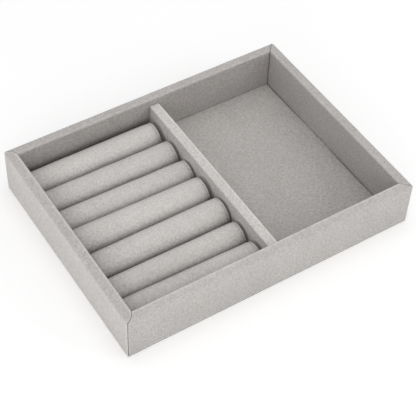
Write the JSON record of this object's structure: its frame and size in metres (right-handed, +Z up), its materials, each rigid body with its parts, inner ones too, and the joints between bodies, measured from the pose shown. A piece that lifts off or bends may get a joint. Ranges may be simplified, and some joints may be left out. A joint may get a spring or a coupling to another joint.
{
  "type": "jewelry tray",
  "caption": "Shallow fabric-wrapped rectangular tray with mitred walls: a lower divider separates a row of padded ring rolls from an open lined compartment.",
  "frame": {"origin": "centre of the underside, on the surface that the tray stands on", "axes": "+X along the long front wall from the ring rolls to the open compartment, +Y from the front wall to the back wall, +Z up"},
  "size_m": [0.24, 0.182, 0.0388],
  "materials": {
    "wall_fabric": "matte",
    "divider_fabric": "matte",
    "roll_fabric": "matte",
    "pad_fabric": "matte",
    "underside_liner": "matte",
    "fibreboard": "matte",
    "card": "matte",
    "foam": "matte"
  },
  "bodies": {
    "tray": {"underside_liner": "underside_liner", "base_board": "fibreboard", "front_wall_board": "fibreboard", "front_wall_cover": "wall_fabric", "right_wall_board": "fibreboard", "right_wall_cover": "wall_fabric", "back_wall_board": "fibreboard", "back_wall_cover": "wall_fabric", "left_wall_board": "fibreboard", "left_wall_cover": "wall_fabric", "divider_board": "fibreboard", "divider_cover": "divider_fabric", "ring_pad_card": "card", "ring_pad_cover": "pad_fabric", "open_pad_card": "card", "open_pad_cover": "pad_fabric"},
    "ring_roll_1": {"ring_roll_foam_1": "foam", "ring_roll_sleeve_1": "roll_fabric"},
    "ring_roll_2": {"ring_roll_foam_2": "foam", "ring_roll_sleeve_2": "roll_fabric"},
    "ring_roll_3": {"ring_roll_foam_3": "foam", "ring_roll_sleeve_3": "roll_fabric"},
    "ring_roll_4": {"ring_roll_foam_4": "foam", "ring_roll_sleeve_4": "roll_fabric"},
    "ring_roll_5": {"ring_roll_foam_5": "foam", "ring_roll_sleeve_5": "roll_fabric"},
    "ring_roll_6": {"ring_roll_foam_6": "foam", "ring_roll_sleeve_6": "roll_fabric"},
    "ring_roll_7": {"ring_roll_foam_7": "foam", "ring_roll_sleeve_7": "roll_fabric"}
  },
  "joints": [
    {"name": "ring_roll_1_lift", "type": "slide", "parent": "tray", "child": "ring_roll_1", "axis": [0, 0, 1], "range_m": [0, 0.045]},
    {"name": "ring_roll_2_lift", "type": "slide", "parent": "tray", "child": "ring_roll_2", "axis": [0, 0, 1], "range_m": [0, 0.045]},
    {"name": "ring_roll_3_lift", "type": "slide", "parent": "tray", "child": "ring_roll_3", "axis": [0, 0, 1], "range_m": [0, 0.045]},
    {"name": "ring_roll_4_lift", "type": "slide", "parent": "tray", "child": "ring_roll_4", "axis": [0, 0, 1], "range_m": [0, 0.045]},
    {"name": "ring_roll_5_lift", "type": "slide", "parent": "tray", "child": "ring_roll_5", "axis": [0, 0, 1], "range_m": [0, 0.045]},
    {"name": "ring_roll_6_lift", "type": "slide", "parent": "tray", "child": "ring_roll_6", "axis": [0, 0, 1], "range_m": [0, 0.045]},
    {"name": "ring_roll_7_lift", "type": "slide", "parent": "tray", "child": "ring_roll_7", "axis": [0, 0, 1], "range_m": [0, 0.045]}
  ]
}
